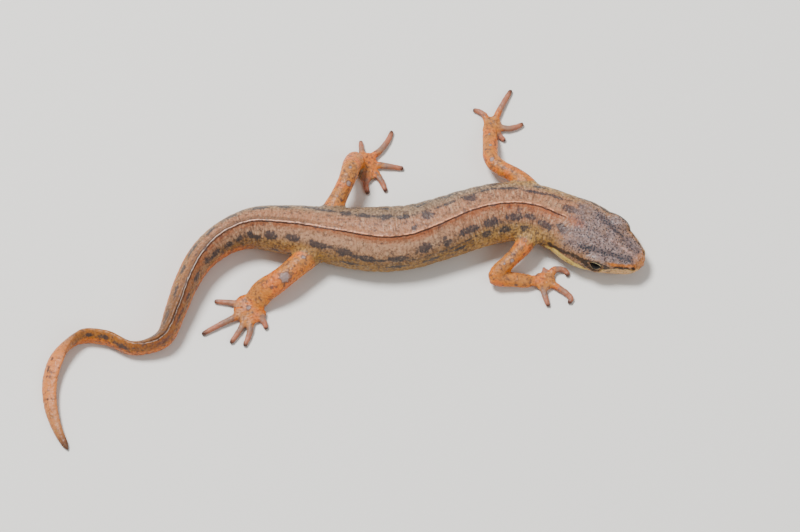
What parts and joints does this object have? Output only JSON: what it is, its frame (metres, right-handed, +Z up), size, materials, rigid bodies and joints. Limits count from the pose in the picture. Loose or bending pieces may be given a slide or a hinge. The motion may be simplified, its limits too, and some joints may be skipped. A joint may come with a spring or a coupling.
{
  "type": "smooth newt",
  "caption": "Life-size still figure of a smooth newt walking on a floor, with a long bent tail, splayed legs and small raised eyes.",
  "frame": {"origin": "middle of the bounding box, on the floor that the newt rests on", "axes": "+X towards the snout's side of the pose, +Y towards the animal's left, +Z up from the floor"},
  "size_m": [0.0684, 0.045, 0.0059],
  "materials": {
    "head": "moist satin",
    "neck": "moist satin",
    "chest": "moist satin",
    "belly": "moist satin",
    "pelvis": "moist satin",
    "tail_base": "moist satin",
    "tail_middle": "moist satin",
    "tail_bend": "moist satin",
    "tail_tip": "moist satin",
    "upper_arm_right": "moist satin",
    "forearm_right": "moist satin",
    "hand_right": "moist satin",
    "upper_arm_left": "moist satin",
    "forearm_left": "moist satin",
    "hand_left": "moist satin",
    "thigh_right": "moist satin",
    "shank_right": "moist satin",
    "foot_right": "moist satin",
    "thigh_left": "moist satin",
    "shank_left": "moist satin",
    "foot_left": "moist satin",
    "eye_left": "wet gloss",
    "eye_right": "wet gloss"
  },
  "bodies": {
    "root": {"head": "head", "neck": "neck", "chest": "chest", "belly": "belly", "pelvis": "pelvis", "tail_base": "tail_base", "tail_middle": "tail_middle", "tail_bend": "tail_bend", "tail_tip": "tail_tip", "upper_arm_right": "upper_arm_right", "forearm_right": "forearm_right", "hand_right": "hand_right", "upper_arm_left": "upper_arm_left", "forearm_left": "forearm_left", "hand_left": "hand_left", "thigh_right": "thigh_right", "shank_right": "shank_right", "foot_right": "foot_right", "thigh_left": "thigh_left", "shank_left": "shank_left", "foot_left": "foot_left", "eye_left": "eye_left", "eye_right": "eye_right"}
  },
  "joints": []
}
